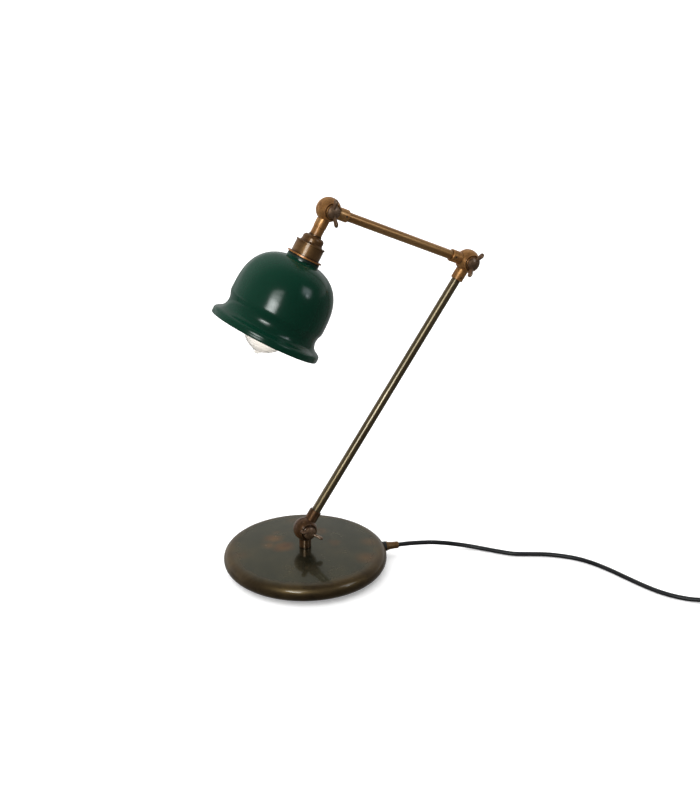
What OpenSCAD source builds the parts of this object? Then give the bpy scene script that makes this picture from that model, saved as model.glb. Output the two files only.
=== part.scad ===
// Adjustable two-arm desk lamp with a weighted round base, three toothed ball knuckles,
// brass tube arms, an E27 lampholder and a spun bell shade.
// Millimetres. The origin is the centre of the base's underside and +Z is up. The arms move in
// the XZ plane with the elbow towards +X, and the wing screws are on the -Y side.

/* [Pose at rest] */
// Lower arm's angle above +X
lower_angle = 54.8; // [45:0.1:75]
// Upper arm's direction, from the elbow
upper_angle = 155.1; // [140:0.1:165]
// Lampholder's direction, from the head knuckle
head_angle = 239.4; // [230:0.1:260]

/* [Base] */
// Radius of the base at its widest
base_r = 117.5; // [112:0.5:125]
// Radius of the rounded edge
edge_r = 12.5; // [11.5:0.1:13]
// Height of the edge's centre above the table
edge_z = 15; // [14.5:0.1:15.5]
// Height of the crown's middle above the table
crown_z = 31; // [30:0.25:33]
// Wall of the spun brass cover
cover_wall = 1.6; // [1.2:0.1:2]
// Thickness of the rubber pad
pad_t = 3; // [2.5:0.1:3.5]
// Thickness of the closing plate
plate_t = 2; // [1.5:0.1:2.5]
// Room between the iron weight and the outside of the base, for the gland's nut
weight_room = 15.5; // [14:0.5:27]
// Angle of the cable gland, clockwise from +X
gland_turn = 12; // [0:1:30]

/* [Knuckles] */
// Height of the base joint above the table
joint_z = 59.5; // [57:0.5:66]
// Radius of the knuckle balls
ball_r = 17; // [16.5:0.1:17.5]
// Radius of the collars
collar_r = 8.8; // [8.4:0.1:9.2]
// Length of a collar from the joint's centre
collar_end = 30.5; // [29.5:0.5:33]
// Gap between the two toothed faces
face_gap = 0.3; // [0.2:0.05:0.5]
// Room between a ball and the neck of the other half
ball_room = 0.5; // [0.4:0.1:0.8]
// Number of teeth round each face
tooth_count = 40; // [24:1:48]
// Depth of the teeth
tooth_depth = 0.7; // [0.4:0.1:0.9]
// Radius of the wing screw's shank
screw_r = 3; // [2.5:0.1:3.5]
// Running clearance of a shank or a trunnion in its hole
run_gap = 0.05; // [0.02:0.01:0.08]
// Clearance between pieces that stay still on each other
seat_gap = 0.05; // [0.02:0.01:0.1]

/* [Arms] */
// Lower arm from joint to joint
lower_length = 446; // [380:1:480]
// Upper arm from joint to joint
upper_length = 239.2; // [200:0.1:280]
// Radius of the arm tubes
tube_r = 6.6; // [6.3:0.05:6.8]
// Wall of the arm tubes
tube_wall = 1; // [0.8:0.1:1.2]
// How far a tube goes into its collar
socket_depth = 10; // [8:0.5:11]
// Radius of the sleeved wires in the arms
wire_r = 1.4; // [1:0.1:1.5]

/* [Lampholder] */
// Length of the head knuckle's neck from the joint's centre
head_neck = 27; // [27:0.5:29]
// Length of the bare sleeve above the cap
sleeve_h = 10.5; // [8:0.5:13]
// Height of the cap
cap_h = 13.5; // [12:0.5:15]
// Radius of the lampholder's body
holder_r = 20.2; // [19.5:0.1:20.5]
// Wall of the lampholder's body
holder_wall = 1.4; // [1.2:0.1:1.6]
// Bare height of the body above the shade's ring
bare_h = 16.6; // [14:0.2:19]
// Height of the threaded part that the shade rings screw on
thread_h = 28; // [26:0.5:30]

/* [Shade] */
// Radius of the shade's neck
neck_r = 23.1; // [22.5:0.1:24]
// Radius of the dome at its widest
dome_r = 68.3; // [64:0.1:72]
// Height of the dome
dome_h = 71.5; // [66:0.5:76]
// Radius of the rim
rim_r = 78.4; // [76:0.1:82]
// Sheet thickness
sheet_t = 1; // [0.8:0.1:1.4]

/* [Bulb] */
// Radius of the bulb's ball
bulb_r = 31; // [28:0.5:32]
// Overall length of the bulb
bulb_length = 143; // [135:1:148]

/* [Cord] */
// Radius of the flexible cord
cord_r = 3.2; // [3:0.1:3.4]
// Middle radius of the coil's outer turn
coil_r = 41.6; // [40:0.2:44]
// Turns side by side in the coil, with a half turn where the layers are staggered
coil_columns = 3.5; // [2.5:0.5:4.5]
// Layers of turns in the coil
coil_layers = 2; // [1:1:3]

/* [Inline switch and plug] */
// Length of the switch housing
switch_l = 58; // [54:1:62]
// Width of the switch housing
switch_w = 24; // [22:0.5:27]
// Height of the switch housing
switch_h = 14; // [13:0.5:16]
// Rocker's tilt at rest
rocker_tilt = 10; // [6:1:12]
// Width of the plug body
plug_w = 35.3; // [34.5:0.1:36]
// Thickness of the plug body
plug_h = 13.7; // [13:0.1:14.4]
// Radius of the plug pins
pin_r = 2; // [1.9:0.01:2.05]
// Length of the plug pins
pin_l = 19; // [18.5:0.1:19.5]
// Distance between the plug pins
pin_gap = 18.6; // [17.5:0.1:19]

/* [Hidden] */
$fn = 96;
skin = 0.1;           // how far a cutter passes the face that it opens

// Base
weight_r = base_r - weight_room;
edge_at = base_r - edge_r;
crease = 7;           // where the crown's arc meets the rounded edge, from its top
crown_end = [edge_at + edge_r * sin(crease), edge_z + edge_r * cos(crease)];
crown_rise = crown_z - crown_end.y;
crown_r = (crown_end.x ^ 2 + crown_rise ^ 2) / (2 * crown_rise);
lip_drop = edge_z - pad_t;
lip_r = edge_at + sqrt(edge_r ^ 2 - lip_drop ^ 2);
plate_r = lip_r - cover_wall - seat_gap;
pad_in = 8;           // how far the pad's edge lies in from the lip
pad_r = lip_r - pad_in;
floor_z = pad_t + plate_t;
pipe_r = 5;           // M10 lamp tube
pipe_bore = 4.1;
well_r = 15;          // room for the nut under the weight
well_z = 19;
nut_h = 5;
nut_r = 9.8;          // across the corners
washer_t = 1.5;
pipe_low = well_z - washer_t - nut_h - 2;
gland_z = edge_z;
gland_r = 6.9;
gland_body = 18.8;    // visible length of the gland
gland_face = base_r + 3.2;
gland_end = gland_face + gland_body;
seal_r = 7.2;
flex_gap = 0.1;
plate_screw_r = 2;
plate_screw_at = 80;

// Knuckles
chamber_r = 11;
boss_r = 5;
chamber_d = 9;
spot_d = 13.5;        // depth of the front spot face from the joint plane
spot_r = sqrt(ball_r ^ 2 - spot_d ^ 2);
disc_r = spot_r - 0.6;
disc_t = 1.6;
hub_r = 8.8;
hub_h = 5.8;
hub_dome = 2.6;       // height of the hub's round face
hub_at = spot_d + disc_t + 0.1;
wing_reach = 15;      // from the screw's axis to the middle of a wing's round tip
wing_tip_r = 4.4;
wing_root_r = 2.6;
wing_t = 4;
wing_lift = 8;       // how far the tips stand forward of the hub's foot
grub_r = 1.5;
grub_at = 25.5;
stem_grub_at = 23.5;
stem_reach = joint_z - crown_z;
neck_from = ball_r + ball_room + 0.3;  // where the socket of a knuckle's neck begins
socket_end = 0.3;     // room between the foot of a socket and the tube in it
pipe_high = joint_z - neck_from - socket_end;
stem_wire_y = 2.6;
arm_wire_y = tube_r - tube_wall - wire_r - 0.25;
tube_start = collar_end - socket_depth;

// Lampholder, measured along the head's axis from its joint
sleeve_end = head_neck + sleeve_h;
cap_end = sleeve_end + cap_h;
flange_t = 1.6;
body_top = cap_end + flange_t;
thread_top = body_top + bare_h;
body_end = thread_top + thread_h;
sleeve_r = 8.3;
cap_r = 15;
flange_r = holder_r + 0.7;
thread_r = holder_r - 0.4;
ring_t = 1.8;
ring_r = 24.9;
neck_top = thread_top + ring_t + 0.1;
insert_r = holder_r - holder_wall - 0.2;
insert_end = body_end - 1.5;
contact_at = body_top + 19.5;
shell_r = 14.1;

// Shade, as radius and distance along the head's axis
neck_h = 3.9;
dome_end = neck_top + neck_h + dome_h;
rim_end = dome_end + 44.2;
power = 2.6;          // squareness of the dome's outline
dome_from = asin((neck_r / dome_r) ^ (power / 2));
dome_steps = 12;
dome_points = [for (i = [0:dome_steps])
    let (a = dome_from + (90 - dome_from) * i / dome_steps)
    [dome_r * sin(a) ^ (2 / power), dome_end - dome_h * cos(a) ^ (2 / power)]];
waist_in = 3.2;       // how far the waist lies in from the dome
waist_r = dome_r - waist_in;
waist_points = [[dome_r, dome_end + 4.5], [dome_r - 0.15 * waist_in, dome_end + 7.5],
    [dome_r - 0.48 * waist_in, dome_end + 10.5], [dome_r - 0.82 * waist_in, dome_end + 13.5],
    [waist_r, dome_end + 17], [waist_r + 0.1, dome_end + 21], [waist_r + 1.2, dome_end + 25]];
lip_points = [[rim_r - 10.6, dome_end + 28], [rim_r - 7, dome_end + 31],
    [rim_r - 2.6, dome_end + 33.5], [rim_r - 0.6, dome_end + 35.4], [rim_r, dome_end + 37.6],
    [rim_r, rim_end - 2]];
shade_outline = concat([[neck_r, neck_top]], dome_points, waist_points, lip_points);
bead_r = 1.6;

// Bulb
bulb_cap_r = 13;
bulb_from = contact_at + 26;
bulb_tip = contact_at + bulb_length;
tip_h = 3.5;
ball_at = bulb_tip - tip_h - bulb_r;
glass_t = 0.9;
bulb_steps = 14;
tip_from = 78;
mount_h = 26;         // height of the glass mount in the bulb
mount_r = 2.4;
mount_foot_r = 6;
cage_h = 52;          // height of the filament above its mount
cage_r = 9;
strand_r = 1;
bulb_outline = concat(
    [for (i = [0:bulb_steps])
        let (u = i / bulb_steps)
        [bulb_cap_r + (bulb_r - bulb_cap_r) * (1 - cos(180 * u)) / 2,
            bulb_from + u * (ball_at - bulb_from)]],
    [for (a = [13:13:tip_from]) [bulb_r * cos(a), ball_at + bulb_r * sin(a)]],
    [[4.6, bulb_tip - 2], [2.9, bulb_tip - 0.6], [0.9, bulb_tip]]);

// Route of the cord over the table, as the middle of the cord
gland_mouth = [gland_end * cos(gland_turn), -gland_end * sin(gland_turn), gland_z];
visible_route = [[150, -32, 15], [163, -35, 14.5], [176, -37.5, 13.3], [189, -40, 11.7],
    [201, -43.5, 9.8], [212.5, -47.5, 7.9], [223.5, -53, 6.3], [234, -59.5, 4.9],
    [243.5, -66.5, 3.8], [252.5, -75, 3.2], [269, -93.5, 3.2], [285, -109.5, 3.2],
    [306, -121, 3.2], [327, -132.5, 3.2], [345, -147, 3.2], [361, -164.5, 3.2],
    [373.5, -187, 3.2], [383, -213.5, 3.2], [390.5, -241, 3.2], [398, -268, 3.2],
    [407, -293, 3.2], [419, -314, 3.2], [434, -331, 3.2]];
switch_at = [481, -371];
switch_turn = -40;
cord_z = 7;           // height of the cord in the switch
coil_at = [534, -333];
coil_in = -30;
plug_at = [575.6, -287, 6.85];

function turned(p, a) = [p.x * cos(a) - p.y * sin(a), p.x * sin(a) + p.y * cos(a)];
function in_switch(x) =
    let (p = turned([x, 0], switch_turn)) [switch_at.x + p.x, switch_at.y + p.y, cord_z];
entry_l = 6;          // how far the cord goes into the switch
switch_in = in_switch(-switch_l / 2 + entry_l);
switch_out = in_switch(switch_l / 2 - entry_l);
coil_mouth = let (p = turned([coil_r, 0], coil_in)) [coil_at.x + p.x, coil_at.y + p.y, cord_r];
lead_route = [[448, -343.4, 4.7], [458, -351.7, 6.9]];
loop_route = [[505.9, -391.9, 6.8], [514.9, -397.1, 5.4], [525.2, -398.9, 4.2],
    [536.2, -397.1, 3.4], [546, -391.6, 3.2], [553.2, -383.4, 3.2], [561.6, -368.4, 3.2]];
tail_route = [[575.6, -321, 9.3], [575.6, -305, 7.6]];

cord_sides = 8;       // sides of the cord's tube

// The cord's route with a point halfway between each two of its own, on a smooth curve
function halfway(a, b, c, d) = (9 * (b + c) - a - d) / 16;
function smooth(p) = [for (i = [0:len(p) - 1]) each i == len(p) - 1 ? [p[i]]
    : [p[i], halfway(p[max(i - 1, 0)], p[i], p[i + 1], p[min(i + 2, len(p) - 1)])]];
function unit(v) = v / norm(v);
function heading(p, i) = unit(p[min(i + 1, len(p) - 1)] - p[max(i - 1, 0)]);

// Points moved by t to the right-hand side of an open outline
function moved(p, t) = [for (i = [0:len(p) - 1])
    let (h = heading(p, i)) p[i] + t * [-h.y, h.x]];
function backwards(p) = [for (i = [len(p) - 1:-1:0]) p[i]];

module sweep(points, r) {
    sides = cord_sides;
    rings = len(points);
    corners = [for (i = [0:rings - 1])
        let (h = heading(points, i), s = unit(cross(h, [0, 0, 1])), u = cross(s, h))
        for (k = [0:sides - 1])
            points[i] + r * (cos(360 * k / sides) * s + sin(360 * k / sides) * u)];
    walls = [for (i = [0:rings - 2], k = [0:sides - 1])
        let (a = i * sides + k, b = i * sides + (k + 1) % sides)
        each [[a, b, b + sides], [a, b + sides, a + sides]]];
    ends = [[for (k = [sides - 1:-1:0]) k], [for (k = [0:sides - 1]) (rings - 1) * sides + k]];
    polyhedron(corners, concat(walls, ends));
}

// A round rod from p to q
module rod(p, q, r) {
    d = q - p;
    translate(p)
        rotate([0, acos(d.z / norm(d)), atan2(d.y, d.x)])
            cylinder(r = r, h = norm(d));
}

// A shape turned round the X axis, from [radius, distance] points
module along_x() rotate([0, 90, 0]) rotate_extrude() children();
module at_base_joint() translate([0, 0, joint_z]) rotate([0, 90, 0]) children();
module on_lower_arm() translate([0, 0, joint_z]) rotate([0, -lower_angle, 0]) children();
module on_upper_arm() on_lower_arm() translate([lower_length, 0, 0])
    rotate([0, lower_angle - upper_angle, 0]) children();
module on_head() on_upper_arm() translate([upper_length, 0, 0])
    rotate([0, upper_angle - head_angle, 0]) children();
module at_gland() rotate([0, 0, -gland_turn]) translate([0, 0, gland_z]) children();
module at_switch() translate([switch_at.x, switch_at.y, 0]) rotate([0, 0, switch_turn]) children();

// ---------- base ----------

// Half section of the base's outline, moved in by t
module base_section(t) {
    intersection() {
        translate([0, crown_z - crown_r]) circle(r = crown_r - t, $fn = 720);
        translate([0, edge_z]) square([crown_end.x, crown_z]);
    }
    translate([edge_at, edge_z]) circle(r = edge_r - t);
    square([edge_at, edge_z]);
}

module base_cover() color([0.30, 0.26, 0.17]) difference() {
    rotate_extrude() difference() {
        intersection() {
            base_section(0);
            translate([0, pad_t]) square([base_r + skin, crown_z]);
        }
        base_section(cover_wall);
        square([plate_r + seat_gap, floor_z + skin]);
    }
    cylinder(r = pipe_r + seat_gap, h = crown_z + skin);
    at_gland() rotate([0, 90, 0]) cylinder(r = pipe_r + seat_gap, h = base_r + skin);
}

module base_weight() color([0.22, 0.22, 0.23]) difference() {
    rotate_extrude() intersection() {
        base_section(cover_wall + seat_gap);
        translate([0, floor_z]) square([weight_r, crown_z]);
    }
    cylinder(r = pipe_r + seat_gap, h = crown_z);
    cylinder(r = well_r, h = well_z);
    at_gland() rotate([0, 90, 0]) cylinder(r = cord_r + 0.5, h = base_r);
    plate_screw_places() translate([0, 0, floor_z - skin])
        cylinder(r = plate_screw_r + seat_gap, h = 8 + skin);
}

module plate_screw_places() for (a = [60:120:300]) rotate([0, 0, a])
    translate([plate_screw_at, 0, 0]) children();

module base_plate() color([0.14, 0.14, 0.15]) difference() {
    translate([0, 0, pad_t]) cylinder(r = plate_r, h = plate_t);
    plate_screw_places() translate([0, 0, pad_t - skin]) {
        cylinder(r = plate_screw_r + seat_gap, h = plate_t + 2 * skin);
        cylinder(r1 = 4.2, r2 = plate_screw_r, h = 1.9);
    }
}

module base_pad() color([0.06, 0.06, 0.06]) cylinder(r = pad_r, h = pad_t);

module plate_screws() color([0.6, 0.6, 0.62]) plate_screw_places() translate([0, 0, pad_t]) {
    cylinder(r1 = 3.9, r2 = plate_screw_r - skin, h = 1.7);
    cylinder(r = plate_screw_r, h = plate_t + 7.5);
}

module centre_tube() color([0.72, 0.58, 0.30]) difference() {
    translate([0, 0, pipe_low]) cylinder(r = pipe_r, h = pipe_high - pipe_low);
    translate([0, 0, pipe_low - skin]) cylinder(r = pipe_bore, h = pipe_high);
}

module centre_washer() color([0.6, 0.6, 0.62]) difference() {
    translate([0, 0, well_z - washer_t]) cylinder(r = well_r - 2, h = washer_t);
    cylinder(r = pipe_r + seat_gap, h = well_z + skin);
}

module centre_nut() color([0.72, 0.58, 0.30]) difference() {
    translate([0, 0, well_z - washer_t - nut_h]) cylinder(r = nut_r, h = nut_h, $fn = 6);
    cylinder(r = pipe_r + seat_gap, h = well_z + skin);
}

// Straight wire from p to q with a square bend block at q
module wire_leg(p, q, bend = true) {
    rod(p, q, wire_r);
    if (bend) translate(q) rotate([0, 0, -gland_turn]) cube(2 * wire_r + 0.6, center = true);
}

module stem_wires() color([0.75, 0.72, 0.62]) {
    well_edge = [cos(gland_turn), -sin(gland_turn), 0];
    up = [0, 0, 1];
    low = 7.5;
    start = (well_r + 1) * well_edge + gland_z * up;
    drop = (well_r - 2.2) * well_edge + gland_z * up;
    turn = (well_r - 2.2) * well_edge + low * up;
    foot = [0, stem_wire_y, low];
    wire_leg(start, drop);
    wire_leg(drop, turn);
    wire_leg(turn, foot);
    wire_leg(foot, [0, stem_wire_y, joint_z - boss_r - 4], false);
}

module base_flex() color([0.05, 0.05, 0.05]) at_gland() translate([well_r + 1, 0, 0])
    rotate([0, 90, 0]) cylinder(r = cord_r, h = gland_end - well_r - 1);

module gland_seal() color([0.05, 0.05, 0.05]) difference() {
    at_gland() translate([base_r - 4, 0, 0]) rotate([0, 90, 0]) difference() {
        cylinder(r = seal_r, h = gland_face - base_r + 4);
        translate([0, 0, -skin]) cylinder(r = pipe_r + seat_gap, h = 10);
    }
    rotate_extrude($fn = 480) translate([edge_at, edge_z])
        circle(r = edge_r + seat_gap, $fn = 240);
}

module cable_gland() color([0.62, 0.46, 0.25]) at_gland() difference() {
    union() {
        translate([base_r - 9, 0, 0]) rotate([0, 90, 0])
            cylinder(r = pipe_r, h = gland_face - base_r + 9.5);
        along_x() polygon([[0, gland_face], [gland_r, gland_face], [gland_r, gland_face + 1.4],
            [gland_r - 1, gland_face + 3.5], [gland_r - 1.6, gland_face + 8],
            [gland_r - 1.8, gland_face + 13], [gland_r - 1.75, gland_end - 2],
            [gland_r - 2, gland_end - 0.8], [gland_r - 2.5, gland_end], [0, gland_end]]);
    }
    rotate([0, 90, 0]) cylinder(r = cord_r + flex_gap, h = gland_end + skin);
}

module gland_nut() color([0.62, 0.46, 0.25]) difference() {
    intersection() {
        at_gland() translate([base_r - 8, 0, 0]) rotate([0, 90, 0])
            cylinder(r = 7.5, h = 8, $fn = 6);
        rotate_extrude($fn = 480) translate([edge_at, edge_z])
            circle(r = edge_r - cover_wall - seat_gap, $fn = 240);
    }
    at_gland() rotate([0, 90, 0]) cylinder(r = pipe_r + seat_gap, h = base_r);
}

// ---------- knuckles ----------

// Everything on one side of a knuckle's split, with the gap left open
module half_space(side) {
    far = 3 * ball_r;
    translate([-far, side > 0 ? face_gap / 2 : -far - face_gap / 2, -far])
        cube([2 * far, far, 2 * far]);
}

// Radial V grooves in the face of one half
module teeth(side) {
    w = 0.9;
    for (i = [0:tooth_count - 1])
        rotate([0, (i + 0.5) * 360 / tooth_count, 0]) translate([chamber_r + 1.2, 0, 0])
            rotate([90, 0, 90]) linear_extrude(ball_r)
                polygon([[0, -w], [side * (face_gap / 2 + tooth_depth), 0], [0, w]]);
}

// Half of a ball knuckle with its collar along +X: side -1 is the front half
module knuckle_half(side, reach, socket_r, socket_from, wire_y) difference() {
    union() {
        intersection() {
            sphere(r = ball_r);
            half_space(side);
        }
        difference() {
            along_x() polygon([[0, 0], [collar_r, 0], [collar_r, reach - 0.6],
                [collar_r - 0.6, reach], [0, reach]]);
            intersection() {
                sphere(r = ball_r + ball_room);
                translate([0, side * face_gap, 0]) half_space(-side);
            }
        }
    }
    rotate([90, 0, 0]) cylinder(r = screw_r + run_gap, h = 3 * ball_r, center = true);
    rotate([90, 0, 0]) translate([0, 0, side > 0 ? -chamber_d : 0]) difference() {
        cylinder(r = chamber_r, h = chamber_d);
        translate([0, 0, -skin]) cylinder(r = boss_r, h = chamber_d + 2 * skin);
    }
    translate([boss_r + 1, side * wire_y, 0]) rotate([0, 90, 0])
        cylinder(r = wire_r + 0.2, h = socket_from - boss_r);
    translate([socket_from, 0, 0]) rotate([0, 90, 0])
        cylinder(r = socket_r + seat_gap, h = reach);
    teeth(side);
    if (side < 0) translate([0, -spot_d, 0]) rotate([90, 0, 0])
        cylinder(r = ball_r, h = ball_r);
}

// Hole for a grub screw through the wall of a collar, on the -Y side
module grub_hole(x) translate([x, 0, 0]) rotate([90, 0, 0])
    cylinder(r = grub_r + seat_gap, h = collar_r + skin);

module arm_half(side) difference() {
    knuckle_half(side, collar_end, tube_r, tube_start, arm_wire_y);
    grub_hole(grub_at);
}

module grub(x, r_in) translate([x, -r_in, 0]) rotate([90, 0, 0]) difference() {
    cylinder(r = grub_r, h = collar_r - r_in - 0.3);
    translate([0, 0, collar_r - r_in - 1.2]) cylinder(r = 0.8, h = 2, $fn = 6);
}

module knuckle_disc() rotate([90, 0, 0]) translate([0, 0, spot_d]) difference() {
    rotate_extrude() polygon([[0, 0], [disc_r, 0], [disc_r, disc_t - 0.5],
        [disc_r - 0.5, disc_t], [0, disc_t]]);
    translate([0, 0, -skin]) cylinder(r = screw_r + run_gap + 0.1, h = disc_t + 1);
}

// Round disc with a rounded edge, across the Z axis
module soft_disc(r, t) rotate_extrude($fn = 32) {
    translate([0, -t / 2]) square([r - t / 2, t]);
    intersection() {
        translate([r - t / 2, 0]) circle(r = t / 2, $fn = 16);
        translate([0, -t]) square([r + t, 2 * t]);
    }
}

// Wing screw with its shank through the knuckle, wings turned by turn from +X
module wing_screw(turn) rotate([0, -turn, 0]) {
    face_r = (hub_r ^ 2 + hub_dome ^ 2) / (2 * hub_dome);
    rotate([-90, 0, 0]) translate([0, 0, -hub_at - skin])
        cylinder(r = screw_r, h = hub_at + skin + spot_d);
    rotate([90, 0, 0]) translate([0, 0, hub_at]) rotate_extrude() {
        square([hub_r, hub_h - hub_dome]);
        intersection() {
            translate([0, hub_h - face_r]) circle(r = face_r);
            square([hub_r, hub_h]);
        }
    }
    for (m = [0, 1]) mirror([m, 0, 0]) hull() {
        translate([hub_r - wing_root_r, -hub_at - hub_h / 2, 0]) soft_disc(wing_root_r, wing_t);
        translate([wing_reach, -hub_at - wing_lift, 0]) soft_disc(wing_tip_r, wing_t);
    }
}

module base_stem() color([0.36, 0.25, 0.15]) at_base_joint() difference() {
    knuckle_half(1, stem_reach, pipe_r, neck_from, stem_wire_y);
    grub_hole(stem_grub_at);
}
module stem_grub() color([0.3, 0.28, 0.26]) at_base_joint()
    grub(stem_grub_at, pipe_r + 0.2);

module lower_knuckle() color([0.55, 0.38, 0.20]) on_lower_arm() arm_half(-1);
module elbow_knuckle() color([0.62, 0.46, 0.25]) on_lower_arm()
    translate([lower_length, 0, 0]) rotate([0, 180, 0]) arm_half(-1);
module upper_elbow_knuckle() color([0.62, 0.46, 0.25]) on_upper_arm() arm_half(1);
module upper_head_knuckle() color([0.62, 0.46, 0.25]) on_upper_arm()
    translate([upper_length, 0, 0]) rotate([0, 180, 0]) arm_half(1);
module head_knuckle() color([0.66, 0.50, 0.27]) on_head()
    knuckle_half(-1, head_neck, pipe_r, neck_from, stem_wire_y);

module base_joint_washer() color([0.55, 0.40, 0.22]) on_lower_arm() knuckle_disc();
module elbow_washer() color([0.62, 0.46, 0.25]) on_lower_arm()
    translate([lower_length, 0, 0]) knuckle_disc();
module head_washer() color([0.62, 0.46, 0.25]) on_head() knuckle_disc();

module base_wing_screw() color([0.34, 0.26, 0.22]) at_base_joint() rotate([0, -90, 0])
    wing_screw(-29);
module elbow_wing_screw() color([0.34, 0.26, 0.22]) on_lower_arm()
    translate([lower_length, 0, 0]) rotate([0, lower_angle, 0]) wing_screw(54);
module head_wing_screw() color([0.34, 0.26, 0.22]) on_upper_arm()
    translate([upper_length, 0, 0]) rotate([0, upper_angle, 0]) wing_screw(90);

// ---------- arms ----------

module arm_tube(length) difference() {
    translate([tube_start, 0, 0]) rotate([0, 90, 0])
        cylinder(r = tube_r, h = length - 2 * tube_start);
    rotate([0, 90, 0]) cylinder(r = tube_r - tube_wall, h = length);
}
module arm_wires(side, length) translate([boss_r + 4, side * arm_wire_y, 0])
    rotate([0, 90, 0]) cylinder(r = wire_r, h = length - 2 * (boss_r + 4));
module arm_grubs(length) {
    grub(grub_at, tube_r);
    translate([length, 0, 0]) rotate([0, 180, 0]) grub(grub_at, tube_r);
}

module lower_tube() color([0.42, 0.36, 0.22]) on_lower_arm() arm_tube(lower_length);
module lower_wires() color([0.75, 0.72, 0.62]) on_lower_arm() arm_wires(-1, lower_length);
module lower_grubs() color([0.3, 0.28, 0.26]) on_lower_arm() arm_grubs(lower_length);
module upper_tube() color([0.55, 0.42, 0.24]) on_upper_arm() arm_tube(upper_length);
module upper_wires() color([0.75, 0.72, 0.62]) on_upper_arm() arm_wires(1, upper_length);
module upper_grubs() color([0.3, 0.28, 0.26]) on_upper_arm() arm_grubs(upper_length);

// ---------- lampholder ----------

module holder_tube() color([0.66, 0.50, 0.27]) on_head() along_x() difference() {
    tube_from = neck_from + socket_end;
    union() {
        translate([0, tube_from]) square([pipe_r, head_neck - tube_from]);
        translate([0, head_neck]) square([sleeve_r, sleeve_h]);
        translate([0, sleeve_end]) square([pipe_r, 6]);
    }
    translate([0, tube_from - skin]) square([pipe_bore, sleeve_end + 7 - tube_from]);
}

module holder_cap() color([0.62, 0.48, 0.28]) on_head() along_x() difference() {
    polygon(concat([[0, sleeve_end], [sleeve_r + 0.8, sleeve_end],
        [sleeve_r + 0.8, sleeve_end + 1.8]],
        [for (a = [0:15:90]) [cap_r - 5 + 5 * sin(a), sleeve_end + 7.2 - 5 * cos(a)]],
        [[cap_r, cap_end - 2.4], [cap_r + 1.6, cap_end], [flange_r, cap_end],
            [flange_r, body_top], [0, body_top]]));
    square([pipe_r + seat_gap, sleeve_end + 6.2]);
    polygon(concat([[0, sleeve_end + 6.2]],
        [for (a = [0:15:90]) [cap_r - 5 + 3.6 * sin(a), sleeve_end + 9.8 - 3.6 * cos(a)]],
        [[cap_r - 1.4, body_top + skin], [0, body_top + skin]]));
}

module holder_body() color([0.60, 0.46, 0.27]) on_head() along_x() difference() {
    polygon([[0, body_top], [holder_r, body_top], [holder_r, thread_top],
        [thread_r, thread_top], [thread_r, body_end], [0, body_end]]);
    translate([0, body_top - skin])
        square([holder_r - holder_wall, insert_end - body_top + skin]);
    square([insert_r - 1.5, body_end + skin]);
}

module holder_insert() color([0.92, 0.90, 0.85]) on_head() difference() {
    along_x() difference() {
        translate([0, body_top + seat_gap])
            square([insert_r, insert_end - body_top - 2 * seat_gap]);
        translate([0, contact_at - 1.3]) square([shell_r, body_end]);
    }
    for (s = [-1, 1]) translate([body_top - skin, s * 6.4, 0]) rotate([0, 90, 0])
        cylinder(r = 1.5, h = 6);
}

module holder_contacts() color([0.75, 0.62, 0.35]) on_head() {
    along_x() difference() {
        translate([0, contact_at + 0.5]) square([shell_r - seat_gap, 18]);
        translate([0, contact_at]) square([bulb_cap_r + 0.4, 20]);
    }
    translate([contact_at - 1.2, 0, 0]) rotate([0, 90, 0]) cylinder(r = 3.5, h = 1.1);
    for (s = [-1, 1]) translate([body_top - 3.5, s * 6.4, 0]) rotate([0, 90, 0]) {
        cylinder(r = 2.2, h = 3.5);
        cylinder(r = 1.45, h = 8.5);
    }
}

module head_wires() color([0.75, 0.72, 0.62]) on_head() translate([boss_r + 4, -stem_wire_y, 0])
    rotate([0, 90, 0]) cylinder(r = wire_r, h = body_top - 0.5 - boss_r - 4);

// ---------- shade ----------

module shade_ring_upper() color([0.72, 0.40, 0.18]) on_head() along_x()
    translate([thread_r + seat_gap, thread_top])
        square([ring_r - thread_r - seat_gap, ring_t]);

module shade_ring_lower() color([0.72, 0.40, 0.18]) on_head() along_x()
    translate([thread_r + seat_gap, neck_top + sheet_t + seat_gap])
        square([neck_r - sheet_t - 0.3 - thread_r, 5.5]);

module shade() color([0.06, 0.22, 0.15]) on_head() along_x() {
    polygon(concat(shade_outline, backwards(moved(shade_outline, sheet_t))));
    translate([thread_r + 0.4, neck_top]) square([neck_r - thread_r - 0.8, sheet_t]);
    translate([rim_r - bead_r, rim_end - bead_r]) circle(r = bead_r, $fn = 32);
}

// ---------- bulb ----------

module bulb_glass() color([0.93, 0.90, 0.82, 0.6]) on_head() along_x()
    polygon(concat(bulb_outline, backwards(moved(bulb_outline, glass_t))));

module bulb_cap() color([0.75, 0.73, 0.68]) on_head() along_x() polygon([[0, contact_at],
    [4.5, contact_at], [5.5, contact_at + 2], [10, contact_at + 3.5],
    [bulb_cap_r, contact_at + 5.5], [bulb_cap_r, bulb_from], [0, bulb_from]]);

module bulb_filament() color([0.9, 0.85, 0.6]) on_head() {
    stem_top = bulb_from + mount_h;
    cage_low = [stem_top + mount_r, 0, cage_r - 2 * strand_r];
    along_x() polygon([[0, bulb_from], [mount_foot_r, bulb_from],
        [1.3 * mount_r, bulb_from + 0.3 * mount_h], [mount_r, stem_top], [0, stem_top]]);
    for (a = [45:90:315]) rotate([a, 0, 0]) {
        rod([stem_top - mount_r, 0, mount_r / 2], cage_low, 0.6 * strand_r);
        rod(cage_low, [stem_top + cage_h, 0, cage_r], strand_r);
    }
}

// ---------- cord, switch and plug ----------

module cord_to_switch() color([0.05, 0.05, 0.05])
    sweep(smooth(concat([gland_mouth], visible_route, lead_route, [switch_in])), cord_r);

module cord_to_coil() color([0.05, 0.05, 0.05])
    sweep(smooth(concat([switch_out], loop_route, [coil_mouth])), cord_r);

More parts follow.
